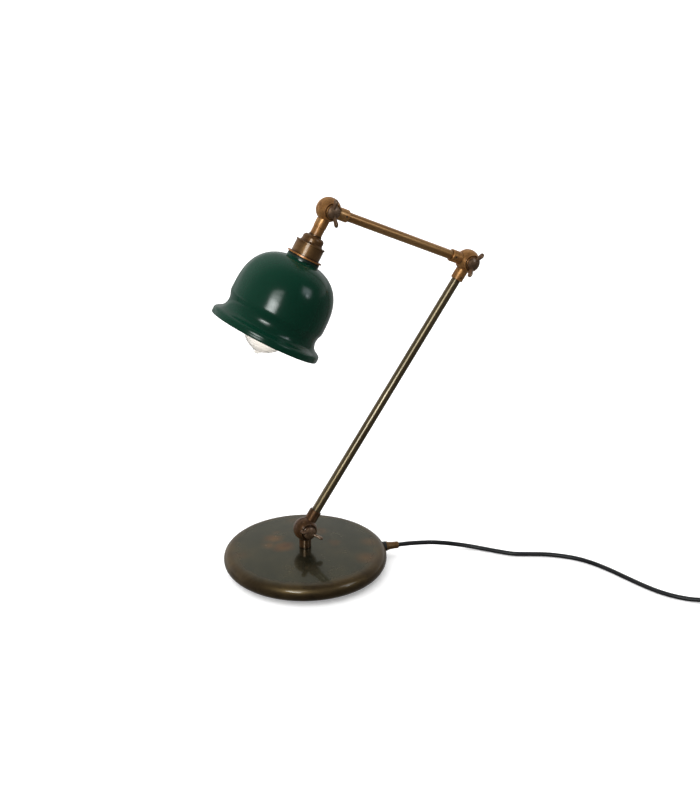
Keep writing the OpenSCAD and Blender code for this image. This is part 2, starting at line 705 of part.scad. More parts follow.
module cord_to_plug() color([0.05, 0.05, 0.05])
    sweep(smooth(concat([[coil_at.x + coil_r, coil_at.y, (2 * coil_layers - 1) * cord_r]],
        tail_route, [plug_at])), cord_r);

coil_in_r = coil_r - (2 * coil_columns - 1) * cord_r;
coil_out_r = coil_r + cord_r;
coil_h = 2 * coil_layers * cord_r;
tie_w = 6;
tie_t = 0.8;
tie_turn = 150;

module cord_coil() color([0.05, 0.05, 0.05]) difference() {
    translate([coil_at.x, coil_at.y, 0]) rotate_extrude()
        polygon([[coil_in_r + 1.2, 0], [coil_out_r - 1.2, 0], [coil_out_r, 1.5],
            [coil_out_r, coil_h - 1.5], [coil_out_r - 1.2, coil_h], [coil_in_r + 1.2, coil_h],
            [coil_in_r, coil_h - 1.5], [coil_in_r, 1.5]]);
    translate([coil_at.x, coil_at.y, -skin]) rotate([0, 0, tie_turn])
        translate([0, -tie_w / 2 - seat_gap, 0])
            cube([coil_out_r + skin, tie_w + 2 * seat_gap, tie_t + seat_gap + skin]);
}

module coil_tie() color([0.1, 0.1, 0.1]) translate([coil_at.x, coil_at.y, 0])
    rotate([0, 0, tie_turn]) translate([coil_in_r - 0.5 - tie_t, -tie_w / 2, 0]) difference() {
        cube([coil_out_r - coil_in_r + 0.6 + 2 * tie_t, tie_w, coil_h + 2 * tie_t]);
        translate([tie_t, -skin, tie_t])
            cube([coil_out_r - coil_in_r + 0.6, tie_w + 2 * skin, coil_h]);
    }

// Rectangle with rounded corners, as points
function rounded(l, w, r) = [for (q = [[1, 1, 0], [-1, 1, 90], [-1, -1, 180], [1, -1, 270]],
    a = [0:18:90]) [q.x * (l / 2 - r) + r * cos(a + q[2]), q.y * (w / 2 - r) + r * sin(a + q[2])]];

// Block with rounded corners and rounded edges at z = h (or at z = 0 if at_top is false)
module soft_block(l, w, h, r, edge, at_top = true) {
    steps = 4;
    overlap = 0.5;
    translate([0, 0, at_top ? 0 : edge]) linear_extrude(h - edge) polygon(rounded(l, w, r));
    for (i = [1:steps]) {
        inset = edge * (1 - cos(90 * (i - 0.5) / steps));
        high = edge * sin(90 * i / steps);
        translate([0, 0, at_top ? h - edge - overlap : edge - high])
            linear_extrude(high + overlap) polygon(rounded(l - 2 * inset, w - 2 * inset, r - inset));
    }
}

switch_split = 6.8;
rocker_l = 18;
rocker_w = 9.4;
pivot_z = switch_h - 3;

module switch_room() {
    translate([-rocker_l / 2 - 0.5, -rocker_w / 2 - 0.3, 3])
        cube([rocker_l + 1, rocker_w + 0.6, switch_h]);
    for (m = [0, 1]) mirror([m, 0, 0])
        translate([-switch_l / 2 - skin, 0, cord_z]) rotate([0, 90, 0])
            cylinder(r = cord_r + flex_gap, h = entry_l + 1 + skin);
}

module switch_screw_places() for (s = [-1, 1]) translate([s * 17, 0, 0]) children();

module switch_base() color([0.07, 0.07, 0.07]) at_switch() difference() {
    soft_block(switch_l, switch_w, switch_split, 7, 2, false);
    switch_room();
    switch_screw_places() translate([0, 0, -skin]) {
        cylinder(r = 1.55, h = switch_split + 1);
        cylinder(r = 3, h = 2 + skin);
    }
}

module switch_cover() color([0.07, 0.07, 0.07]) at_switch() difference() {
    translate([0, 0, switch_split])
        soft_block(switch_l, switch_w, switch_h - switch_split, 7, 2.5);
    switch_room();
    translate([0, 0, pivot_z]) rotate([90, 0, 0])
        cylinder(r = 1.2 + run_gap, h = rocker_w + 5, center = true);
    switch_screw_places() translate([0, 0, switch_split - skin])
        cylinder(r = 1.55, h = 4 + skin);
}

module switch_screws() color([0.6, 0.6, 0.62]) at_switch() switch_screw_places() {
    translate([0, 0, 0.4]) cylinder(r = 2.8, h = 1.6);
    translate([0, 0, 0.4]) cylinder(r = 1.5, h = switch_split + 3);
}

module switch_rocker() color([0.16, 0.16, 0.16]) at_switch() translate([0, 0, pivot_z])
    rotate([0, rocker_tilt, 0]) {
        rotate([90, 0, 0]) linear_extrude(rocker_w, center = true)
            polygon([[-rocker_l / 2 + 0.7, 0.5], [-rocker_l / 2 + 0.3, 3.2], [-3, 2.4], [3, 2.4],
                [rocker_l / 2 - 0.3, 3.2], [rocker_l / 2 - 0.7, 0.5], [3, -4], [-3, -4]]);
        rotate([90, 0, 0]) cylinder(r = 1.2, h = rocker_w + 4, center = true);
    }

plug_neck = 8;
plug_l = 36;
module at_plug() translate(plug_at) rotate([0, 0, 90]) children();

// The plug's outline from above, then from the side, from its neck to its face
plug_top = [[plug_neck, 4.6], [plug_neck + 3, 7.5], [plug_neck + 7, 11.6], [plug_neck + 12, 14.6],
    [plug_l - 9, plug_w / 2 - 0.7], [plug_l - 3, plug_w / 2], [plug_l - 0.8, plug_w / 2 - 0.2],
    [plug_l, plug_w / 2 - 1]];
plug_side = [[plug_neck, 4.4], [plug_neck + 4, 5.9], [plug_neck + 10, plug_h / 2 - 0.3],
    [plug_neck + 14, plug_h / 2], [plug_l - 1, plug_h / 2], [plug_l, plug_h / 2 - 1]];
function mirrored(p) = concat(p, [for (q = backwards(p)) [q.x, -q.y]]);

module plug_body() color([0.06, 0.06, 0.06]) at_plug() difference() {
    union() {
        along_x() polygon([[0, 0], [4.3, 0], [4.9, plug_neck], [5.3, plug_neck + 5],
            [0, plug_neck + 5]]);
        intersection() {
            linear_extrude(plug_h + 2, center = true) polygon(mirrored(plug_top));
            rotate([90, 0, 0]) linear_extrude(plug_w + 2, center = true)
                polygon(mirrored(plug_side));
        }
    }
    rotate([0, 90, 0]) translate([0, 0, -skin]) cylinder(r = cord_r + flex_gap, h = skin + 0.2);
    for (s = [-1, 1]) translate([plug_l - 10, s * pin_gap / 2, 0]) rotate([0, 90, 0])
        cylinder(r = pin_r + seat_gap, h = 11);
}

module plug_pins() color([0.75, 0.72, 0.6]) at_plug() for (s = [-1, 1])
    translate([plug_l - 9.9, s * pin_gap / 2, 0]) along_x()
        polygon([[0, 0], [pin_r, 0], [pin_r, 9.9 + pin_l - 1.2], [pin_r - 0.9, 9.9 + pin_l],
            [0, 9.9 + pin_l]]);

base_cover();
base_weight();
base_plate();
base_pad();
plate_screws();
centre_tube();
centre_nut();
centre_washer();
base_stem();
stem_grub();
stem_wires();
gland_seal();
cable_gland();
gland_nut();
base_flex();
lower_knuckle();
lower_tube();
elbow_knuckle();
lower_wires();
lower_grubs();
base_joint_washer();
elbow_washer();
upper_elbow_knuckle();
upper_tube();
upper_head_knuckle();
upper_wires();
upper_grubs();
head_knuckle();
head_washer();
holder_tube();
holder_cap();
holder_body();
holder_insert();
holder_contacts();
head_wires();
shade_ring_upper();
shade_ring_lower();
shade();
bulb_glass();
bulb_cap();
bulb_filament();
base_wing_screw();
elbow_wing_screw();
head_wing_screw();
cord_to_switch();
switch_base();
switch_cover();
switch_rocker();
switch_screws();
cord_to_coil();
cord_coil();
coil_tie();
cord_to_plug();
plug_body();
plug_pins();
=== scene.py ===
import math

import bpy
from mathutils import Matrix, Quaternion, Vector


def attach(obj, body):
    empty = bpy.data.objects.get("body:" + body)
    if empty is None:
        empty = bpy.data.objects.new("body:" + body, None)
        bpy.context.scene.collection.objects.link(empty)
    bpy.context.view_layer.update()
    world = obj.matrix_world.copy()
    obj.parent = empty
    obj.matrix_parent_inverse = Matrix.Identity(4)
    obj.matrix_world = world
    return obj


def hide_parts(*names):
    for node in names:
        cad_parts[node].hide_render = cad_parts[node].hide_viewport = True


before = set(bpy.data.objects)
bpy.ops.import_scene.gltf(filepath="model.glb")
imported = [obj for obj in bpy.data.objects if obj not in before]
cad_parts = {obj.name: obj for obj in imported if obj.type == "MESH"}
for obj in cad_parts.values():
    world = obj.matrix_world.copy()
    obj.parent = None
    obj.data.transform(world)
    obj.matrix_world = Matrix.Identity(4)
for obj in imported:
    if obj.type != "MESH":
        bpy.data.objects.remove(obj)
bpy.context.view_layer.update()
MM = 0.001


# ---------- the lamp's places, as in part.scad, in millimetres ----------
def heading(angle):
    """The direction at an angle in the plane of the arms."""
    return Vector((math.cos(angle), 0, math.sin(angle)))


LOWER_A, UPPER_A, HEAD_A = map(math.radians, (54.8, 155.1, 239.4))
LOWER_LENGTH, UPPER_LENGTH = 446, 239.2
J1 = Vector((0, 0, 59.5))
J2 = J1 + LOWER_LENGTH * heading(LOWER_A)
J3 = J2 + UPPER_LENGTH * heading(UPPER_A)
AXIS = heading(HEAD_A)
SIDE = Vector((0, 1, 0))


# ---------- camera ----------
EYE = Vector((-791.28, -1739.07, 1045.75))
AIM = Vector((72, 0, 245.5))


def camera():
    data = bpy.data.cameras.new("camera")
    data.sensor_width = 36
    data.lens = 67.185
    data.clip_end = 200
    cam = bpy.data.objects.new("camera", data)
    bpy.context.scene.collection.objects.link(cam)
    cam.location = EYE * MM
    cam.rotation_mode = "QUATERNION"
    cam.rotation_quaternion = (AIM * MM - EYE * MM).to_track_quat("-Z", "Y")
    bpy.context.scene.camera = cam


camera()


# ---------- nodes ----------
class Graph:
    """The nodes of a material, the world or a light.

    Most calls add one node and return its main output.
    """

    def __init__(self, owner):
        owner.use_nodes = True
        self.owner = owner
        self.tree = owner.node_tree
        self.tree.nodes.clear()

    def feed(self, socket, value):
        """Links an output to the socket, or sets its number or colour."""
        if isinstance(value, bpy.types.NodeSocket):
            self.tree.links.new(value, socket)
        elif socket.type != "RGBA":
            socket.default_value = value
        elif hasattr(value, "__len__"):
            socket.default_value = (*value, 1)
        else:
            socket.default_value = (value, value, value, 1)

    def node(self, kind, inputs=None, **props):
        n = self.tree.nodes.new("ShaderNode" + kind)
        for key, value in props.items():
            setattr(n, key, value)
        for key, value in (inputs or {}).items():
            self.feed(n.inputs[key], value)
        return n

    def coords(self, turn=(0, 0, 0), scale=(1, 1, 1)):
        """Places on the lamp in metres, drawn out by the scale along the turned axes."""
        place = self.node("TexCoord").outputs["Object"]
        return self.node("Mapping", {"Vector": place, "Rotation": turn, "Scale": scale},
                         vector_type="TEXTURE").outputs[0]

    def noise(self, at, scale, detail=4, rough=0.55, distort=0.0):
        return self.node("TexNoise", {"Vector": at, "Scale": scale, "Detail": detail,
                                      "Roughness": rough, "Distortion": distort}).outputs["Fac"]

    def ramp(self, fac, stops):
        n = self.node("ValToRGB", {"Fac": fac})
        items = n.color_ramp.elements
        while len(items) < len(stops):
            items.new(0.5)
        for item, (place, col) in zip(items, stops):
            item.position = place
            item.color = (*col, 1) if hasattr(col, "__len__") else (col, col, col, 1)
        return n.outputs[0]

    def mix(self, fac, a, b):
        return self.node("Mix", {0: fac, 6: a, 7: b}, data_type="RGBA").outputs[2]

    def calc(self, operation, a, b):
        return self.node("Math", {0: a, 1: b}, operation=operation).outputs[0]

    def remap(self, value, low, high, to_low=0.0, to_high=1.0):
        return self.node("MapRange", {"Value": value, "From Min": low, "From Max": high,
                                      "To Min": to_low, "To Max": to_high}).outputs[0]

    def blend(self, a, share, b):
        """A share of the first value and the rest of the second."""
        return self.calc("ADD", self.calc("MULTIPLY", a, share),
                         self.calc("MULTIPLY", b, 1 - share))

    def sway(self, value, noise, amount):
        """The value, moved up and down by a noise."""
        return self.calc("ADD", value,
                         self.calc("MULTIPLY", self.calc("SUBTRACT", noise, 0.5), amount))

    def dot(self, at, way):
        return self.node("VectorMath", {0: at, 1: way}, operation="DOT_PRODUCT").outputs["Value"]

    def bump(self, height, strength, distance):
        return self.node("Bump", {"Height": height, "Strength": strength,
                                  "Distance": distance}).outputs[0]

    def output(self, kind, shader):
        self.tree.links.new(shader.outputs[0], self.node(kind).inputs[0])
        return self.owner

    def surface(self, **inputs):
        """The material, with these inputs of the Principled shader."""
        inputs = {key.replace("_", " "): value for key, value in inputs.items()}
        return self.output("OutputMaterial", self.node("BsdfPrincipled", inputs))


def material(name):
    return Graph(bpy.data.materials.new(name))


# ---------- materials ----------
LACQUER_ROUGH = 0.13
HOLLOW_REACH = 0.005


def brass(name, dark, mid, light, rough=(0.40, 0.58), turn=0.0, streak=1.0, grain=0.25,
          lacquer=0.5, patina_and_shade=0.85):
    """Antiqued brass: mottled tones, darker in its grooves from patina and painted shade, under a
    thin clear lacquer.
    """
    g = material(name)
    at = g.coords(turn=(0, -turn, 0), scale=(streak, 1, 1))
    patches = g.noise(at, 55, 5, 0.6, 0.4)
    specks = g.noise(g.coords(), 420, 3, 0.6)
    clouds = g.noise(at, 16, 3, 0.5, 0.6)
    tone = g.sway(g.blend(patches, 0.6, clouds), specks, grain)
    col = g.ramp(tone, [(0.30, dark), (0.50, mid), (0.68, light)])
    # painted shade and patina: darker where ambient occlusion finds hollows and grooves
    hollow_shade = g.node("AmbientOcclusion", {"Distance": HOLLOW_REACH}, samples=8).outputs["AO"]
    col = g.mix(g.ramp(hollow_shade, [(0.45, patina_and_shade), (0.95, 0.0)]), col, tuple(0.25 * c for c in dark))
    return g.surface(Base_Color=col, Metallic=0.85,
                     Roughness=g.remap(tone, 0.3, 0.7, rough[1], rough[0]),
                     Coat_Weight=lacquer, Coat_Roughness=LACQUER_ROUGH,
                     Normal=g.bump(g.calc("ADD", specks, patches), 0.10, 0.0004))


# x, y and radius in millimetres, and strength
RUST_MARKS = ((-30, 43, 18, 0.9), (-29, 13, 19, 1.0), (-45, 26, 14, 0.7), (41, 34, 12, 0.55),
              (44, -8, 12, 0.45), (66, -66, 20, 0.65), (92, -24, 16, 0.5), (-20, 58, 10, 0.3),
              (-92, 20, 14, 0.3), (20, 86, 12, 0.35))
COVER_TOP = 0.03
RIM_FROM, RIM_TO = 0.098, 0.112


def base_patina():
    g = material("base_patina")
    at = g.coords()
    big = g.noise(at, 9, 4, 0.55, 0.8)
    mid = g.noise(at, 34, 5, 0.6, 0.5)
    fine = g.noise(at, 260, 3, 0.55)
    col = g.ramp(g.blend(big, 0.55, mid), [(0.34, (0.068, 0.070, 0.042)),
                                           (0.52, (0.100, 0.094, 0.052)),
                                           (0.70, (0.140, 0.112, 0.052))])
    # rusty marks: strong ones beside the stem, fainter ones towards the edge
    marks = 0.0
    for x, y, radius, strength in RUST_MARKS:
        centre = (x * MM, y * MM, COVER_TOP)
        away = g.node("VectorMath", {0: at, 1: centre}, operation="DISTANCE").outputs["Value"]
        mark = g.remap(g.sway(away, mid, 0.030), radius * MM, 0.25 * radius * MM, 0.0, strength)
        marks = g.calc("MAXIMUM", marks, mark)
    rust = g.ramp(mid, [(0.35, (0.17, 0.085, 0.030)), (0.65, (0.31, 0.165, 0.055))])
    col = g.mix(marks, col, rust)
    # a warm, duller edge
    flat = g.node("VectorMath", {0: at, 1: (1, 1, 0)}, operation="MULTIPLY").outputs[0]
    out_by = g.node("VectorMath", {0: flat}, operation="LENGTH").outputs["Value"]
    rim = g.remap(g.sway(out_by, big, 0.02), RIM_FROM, RIM_TO)
    warm = g.ramp(mid, [(0.35, (0.105, 0.064, 0.028)), (0.68, (0.175, 0.112, 0.046))])
    col = g.mix(g.calc("MULTIPLY", rim, 0.8), col, warm)
    rough = g.remap(g.blend(mid, 0.7, fine), 0.3, 0.7, 0.16, 0.30)
    rough = g.calc("ADD", rough, g.calc("MULTIPLY", rim, 0.22))
    return g.surface(Base_Color=col, Metallic=0.93, Roughness=rough, Coat_Weight=0.7,
                     Coat_Roughness=0.035, Coat_IOR=1.5, Normal=g.bump(mid, 0.05, 0.0006))


NECK_FROM, NECK_TO = 0.0755, 0.0735  # from the head's pivot, along its axis


def enamel():
    g = material("green_enamel")
    at = g.coords()
    slow = g.noise(at, 7, 3, 0.5, 0.3)
    peel = g.noise(at, 90, 2, 0.5)
    dust = g.noise(at, 1400, 2, 0.6)
    col = g.ramp(slow, [(0.35, (0.0022, 0.031, 0.0170)), (0.65, (0.0036, 0.039, 0.0215))])
    rough = g.remap(dust, 0.3, 0.75, 0.15, 0.21)
    # duller at the neck, and darker there as painted shade
    pivot = J3.dot(AXIS) * MM
    neck_dull_and_shade = g.remap(g.dot(at, tuple(AXIS)), pivot + NECK_FROM, pivot + NECK_TO, 0.0, 0.34)
    col = g.mix(g.calc("MULTIPLY", neck_dull_and_shade, 1.6), col, (0.001, 0.014, 0.008))
    return g.surface(Base_Color=col, Roughness=g.calc("ADD", rough, neck_dull_and_shade), IOR=1.5,
                     Normal=g.bump(peel, 0.03, 0.0006))


def white_enamel():
    g = material("white_enamel")
    n = g.noise(g.coords(), 60, 3, 0.5)
    col = g.ramp(n, [(0.3, (0.80, 0.79, 0.75)), (0.7, (0.88, 0.87, 0.84))])
    return g.surface(Base_Color=col, Roughness=0.28, Normal=g.bump(n, 0.03, 0.0005))


def bulb_glass():
    g = material("bulb_glass")
    n = g.noise(g.coords(), 40, 2, 0.5)
    col = g.ramp(n, [(0.3, (1.0, 0.960, 0.900)), (0.7, (1.0, 0.975, 0.935))])
    return g.surface(Base_Color=col, Transmission_Weight=0.92, Roughness=0.30, IOR=1.45,
                     Normal=g.bump(n, 0.03, 0.0006))


def plastic(name, low, high, rough=0.3, scale=900, depth=0.08, coat=0.0):
    """A moulded plastic, rubber or glaze with a fine grain."""
    g = material(name)
    at = g.coords()
    fine = g.noise(at, scale, 2, 0.5)
    slow = g.noise(at, 28, 3, 0.5)
    return g.surface(Base_Color=g.ramp(slow, [(0.3, low), (0.7, high)]),
                     Roughness=g.remap(slow, 0.3, 0.7, rough * 0.85, rough * 1.2),
                     Coat_Weight=coat, Coat_Roughness=0.1, Normal=g.bump(fine, depth, 0.0002))


def metal(name, low, high, rough=(0.2, 0.35), scale=300):
    """A plain machined, plated or cast metal."""
    g = material(name)
    n = g.noise(g.coords(), scale, 4, 0.6)
    return g.surface(Base_Color=g.ramp(n, [(0.35, low), (0.65, high)]), Metallic=1.0,
                     Roughness=g.remap(n, 0.3, 0.7, *rough), Normal=g.bump(n, 0.08, 0.0003))


# dark, middle and light tones
GOLD = ((0.27, 0.115, 0.036), (0.56, 0.280, 0.092), (0.80, 0.46, 0.19))
KNUCKLE = ((0.26, 0.108, 0.034), (0.64, 0.315, 0.105), (0.92, 0.55, 0.235))
HOLDER = ((0.15, 0.068, 0.024), (0.28, 0.148, 0.055), (0.42, 0.25, 0.11))
BROWN = ((0.070, 0.030, 0.012), (0.16, 0.078, 0.032), (0.31, 0.170, 0.078))
BRONZE = ((0.14, 0.078, 0.044), (0.26, 0.155, 0.092), (0.42, 0.28, 0.18))
OLIVE = ((0.11, 0.079, 0.037), (0.20, 0.147, 0.074), (0.33, 0.255, 0.150))
COPPER = ((0.36, 0.13, 0.035), (0.66, 0.28, 0.09), (0.80, 0.42, 0.17))
M = {
    "base": base_patina(),
    "green": enamel(),
    "white": white_enamel(),
    "bulb": bulb_glass(),
    "gold": brass("antique_brass", *KNUCKLE, rough=(0.34, 0.52)),
    "gold_head": brass("antique_brass_head", *KNUCKLE, rough=(0.36, 0.54), turn=HEAD_A,
                       streak=1.4),
    "holder": brass("holder_brass", *HOLDER, rough=(0.34, 0.50), turn=HEAD_A, streak=1.4,
                    lacquer=0.6),
    "upper": brass("antique_brass_upper", *GOLD, rough=(0.26, 0.38), turn=UPPER_A, streak=7,
                   grain=0.15, lacquer=0.9),
    "lower": brass("antique_brass_lower", *OLIVE, rough=(0.27, 0.40), turn=LOWER_A, streak=7,
                   lacquer=0.9),
    "brown": brass("dark_brass", *BROWN, rough=(0.30, 0.45), lacquer=0.8),
    "bronze": brass("screw_bronze", *BRONZE, rough=(0.36, 0.55), grain=0.5, patina_and_shade=0.4),
    "copper": brass("copper_ring", *COPPER, rough=(0.36, 0.52)),
    "plain": metal("machined_brass", (0.55, 0.40, 0.17), (0.72, 0.55, 0.27)),
    "steel": metal("plated_steel", (0.42, 0.42, 0.43), (0.58, 0.58, 0.60)),
    "iron": metal("cast_iron", (0.07, 0.07, 0.07), (0.13, 0.13, 0.13), rough=(0.5, 0.7)),
    "rubber": plastic("black_rubber", (0.010, 0.010, 0.010), (0.022, 0.022, 0.022), rough=0.6),
    "cord": plastic("cord_jacket", (0.008, 0.008, 0.009), (0.015, 0.015, 0.017), rough=0.38,
                    scale=700, depth=0.05),
    "switch": plastic("switch_plastic", (0.012, 0.012, 0.013), (0.026, 0.026, 0.028), rough=0.36,
                      scale=1500, depth=0.12),
    "rocker": plastic("rocker_plastic", (0.035, 0.035, 0.036), (0.06, 0.06, 0.062),
                      scale=1500, depth=0.10),
    "tie": plastic("tie_plastic", (0.015, 0.015, 0.015), (0.03, 0.03, 0.03), rough=0.5),
    "sleeve": plastic("wire_sleeve", (0.55, 0.52, 0.42), (0.68, 0.65, 0.55), rough=0.5),
    "porcelain": plastic("porcelain", (0.80, 0.78, 0.72), (0.88, 0.86, 0.81), rough=0.2,
                         scale=300, depth=0.04, coat=0.6),
    "nickel": metal("nickel", (0.60, 0.57, 0.52), (0.74, 0.71, 0.66)),
    "filament": plastic("filament_yellow", (0.80, 0.52, 0.14), (0.90, 0.64, 0.22), rough=0.4),
}

NODES_OF = {
    "base": "base_cover",
    "iron": "base_weight",
    "steel": "base_plate plate_screws centre_washer switch_screws",
    "rubber": "base_pad gland_seal",
    "plain": "centre_tube centre_nut gland_nut holder_contacts",
    "brown": "base_stem lower_knuckle base_joint_washer",
    "bronze": "stem_grub lower_grubs upper_grubs base_wing_screw elbow_wing_screw "
              "head_wing_screw",
    "sleeve": "stem_wires lower_wires upper_wires head_wires",
    "holder": "cable_gland holder_cap holder_body",
    "cord": "base_flex cord_to_switch cord_to_coil cord_coil cord_to_plug",
    "lower": "lower_tube",
    "upper": "upper_tube",
    "gold": "elbow_knuckle elbow_washer upper_elbow_knuckle upper_head_knuckle head_washer",
    "gold_head": "head_knuckle holder_tube",
    "porcelain": "holder_insert",
    "copper": "shade_ring_upper shade_ring_lower",
    "green": "shade",
    "bulb": "bulb_glass",
    "nickel": "bulb_cap plug_pins",
    "filament": "bulb_filament",
    "switch": "switch_base switch_cover plug_body",
    "rocker": "switch_rocker",
    "tie": "coil_tie",
}
for key, node_names in NODES_OF.items():
    for node_name in node_names.split():
        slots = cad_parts[node_name].data.materials
        slots.clear()
        slots.append(M[key])


# ---------- meshes ----------
def add_mesh(name, verts, faces, materials, body, sharp):
    me = bpy.data.meshes.new(name)
    me.from_pydata([tuple(v) for v in verts], [], faces)
    me.validate()
    me.update()
    for m in materials:
        me.materials.append(M[m])
    me.shade_smooth()
    me.set_sharp_from_angle(angle=math.radians(sharp))
    o = bpy.data.objects.new(name, me)
    bpy.context.scene.collection.objects.link(o)
    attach(o, body)
    return o


def lathe(outline, origin, axis, sides):
    """A closed outline of (distance, radius) points, turned round an axis.

    Returns the vertices in metres, the faces, and each face's place along the outline.
    """
    across = SIDE.cross(axis).normalized()
    verts, faces, places = [], [], []
    for s, r in outline:
        for k in range(sides):
            a = 2 * math.pi * k / sides
            verts.append((origin + s * axis + r * (math.cos(a) * across + math.sin(a) * SIDE)) * MM)
    for i in range(len(outline)):
        a, b = i * sides, (i + 1) % len(outline) * sides
        for k in range(sides):
            m = (k + 1) % sides
            faces.append([a + k, a + m, b + m, b + k])
            places.append(i)
    return verts, faces, places


def catmull(p, per):
    """A smooth curve through the points, with so many pieces to each gap."""
    out = []
    for i in range(len(p) - 1):
        a, b, c, d = p[max(i - 1, 0)], p[i], p[i + 1], p[min(i + 2, len(p) - 1)]
        for k in range(per):
            t = k / per
            out.append(0.5 * ((2 * b) + (c - a) * t + (2 * a - 5 * b + 4 * c - d) * t * t
                              + (3 * b - a - 3 * c + d) * t ** 3))
    out.append(p[-1].copy())
    return out


def tube(points, radius, sides=16):
    """A round tube along points that never head straight up, closed at both ends."""
    verts, faces = [], []
    last = len(points) - 1
    for i, p in enumerate(points):
        h = (points[min(i + 1, last)] - points[max(i - 1, 0)]).normalized()
        s = h.cross(Vector((0, 0, 1)))
        s.normalize()
        u = s.cross(h)
        for k in range(sides):
            a = 2 * math.pi * k / sides
            verts.append((p + radius * (math.cos(a) * s + math.sin(a) * u)) * MM)
    for i in range(last):
        for k in range(sides):
            a, b = i * sides + k, i * sides + (k + 1) % sides
            faces.append([a, b, b + sides, a + sides])
    faces.append(list(range(sides))[::-1])
    faces.append([last * sides + k for k in range(sides)])
    return verts, faces


# ---------- the cord, in millimetres ----------
CORD_R = 3.2
GLAND_TURN = math.radians(12)
GLAND_END = 117.5 + 22
GLAND_Z = 15
SWITCH = Vector((481, -371, 7))
SWITCH_TURN = math.radians(-40)
SWITCH_HALF = 23
ROUTE = [(150, -32, 15), (163, -35, 14.5), (176, -37.5, 13.3), (189, -40, 11.7),
         (201, -43.5, 9.8), (212.5, -47.5, 7.9), (223.5, -53, 6.3), (234, -59.5, 4.9),
         (243.5, -66.5, 3.8), (252.5, -75, 3.2), (269, -93.5, 3.2), (285, -109.5, 3.2),
         (306, -121, 3.2), (327, -132.5, 3.2), (345, -147, 3.2), (361, -164.5, 3.2),
         (373.5, -187, 3.2), (383, -213.5, 3.2), (390.5, -241, 3.2), (398, -268, 3.2),
         (407, -293, 3.2), (419, -314, 3.2), (434, -331, 3.2), (448, -343.4, 4.7),
         (458, -351.7, 6.9)]
LOOP = [(505.9, -391.9, 6.8), (514.9, -397.1, 5.4), (525.2, -398.9, 4.2), (536.2, -397.1, 3.4),
        (546, -391.6, 3.2), (553.2, -383.4, 3.2), (561.6, -368.4, 3.2)]
TAIL = [(575.6, -321, 9.3), (575.6, -305, 7.6), (575.6, -287, 6.85)]
SMOOTH = 4

COIL = Vector((534, -333, 0))
COIL_FROM, COIL_TO = math.radians(-30), math.radians(1800)
COIL_POINTS = 5 * 32
COIL_INNER, COIL_GROWTH = 25.6, 16
LAYER_CHANGE = math.radians(90)
TIE = math.radians(150)
TIE_REACH = math.radians(38)
TIE_LIFT = 0.9


def coil_points():
    """Two layers of turns side by side, inward at the bottom and outward on top."""
    middle = (COIL_FROM + COIL_TO) / 2
    out = []
    for i in range(COIL_POINTS + 1):
        a = COIL_FROM + (COIL_TO - COIL_FROM) * i / COIL_POINTS
        r = COIL_INNER + COIL_GROWTH * abs(a - middle) / (middle - COIL_FROM)
        rise = min(max((a - middle) / LAYER_CHANGE + 0.5, 0), 1)
        z = CORD_R + 2 * CORD_R * (3 * rise ** 2 - 2 * rise ** 3)
        # the turns pass over the tie's lower side
        off = abs((a - TIE + math.pi) % (2 * math.pi) - math.pi)
        z += TIE_LIFT * max(0, math.cos(min(off / TIE_REACH, 1) * math.pi / 2)) ** 2
        out.append(COIL + Vector((r * math.cos(a), r * math.sin(a), z)))
    return out


def the_cord():
    mouth = Vector((GLAND_END * math.cos(GLAND_TURN), -GLAND_END * math.sin(GLAND_TURN), GLAND_Z))
    along = Vector((math.cos(SWITCH_TURN), math.sin(SWITCH_TURN), 0))
    inlet, outlet = SWITCH - SWITCH_HALF * along, SWITCH + SWITCH_HALF * along
    start = [mouth] + [Vector(p) for p in ROUTE] + [inlet]
    loop = [outlet] + [Vector(p) for p in LOOP]
    coil = coil_points()
    tail = [Vector(p) for p in TAIL]
    path = catmull(start, SMOOTH) + catmull(loop + [coil[0]], SMOOTH) + coil[1:-1]
    path += catmull([coil[-1]] + tail, SMOOTH)
    verts, faces = tube(path, CORD_R)
    cord = add_mesh("cord", verts, faces, ["cord"], "base", sharp=60)
    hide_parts("cord_to_switch", "cord_to_coil", "cord_coil", "cord_to_plug")
    length = sum((b - a).length for a, b in zip(path, path[1:]))
    print("cord length, mm:", round(length, 1))
    return cord, [p * MM for p in path], mouth * MM


cord, cord_path, cord_mouth = the_cord()


# ---------- shade: distances from the head's pivot and radii, in millimetres ----------
NECK, DOME_END, RIM_END = 71.1, 146.5, 190.7
NECK_R, DOME_R, RIM_R = 23.1, 68.3, 78.4
BORE_R = 20.1
DOME_H = 71.5
DOME_POWER = 2.6
DOME_STEPS = 40
WAIST_DIP = 3.2
SHEET = 1.0
BEAD = 1.6
BEAD_STEPS = 16


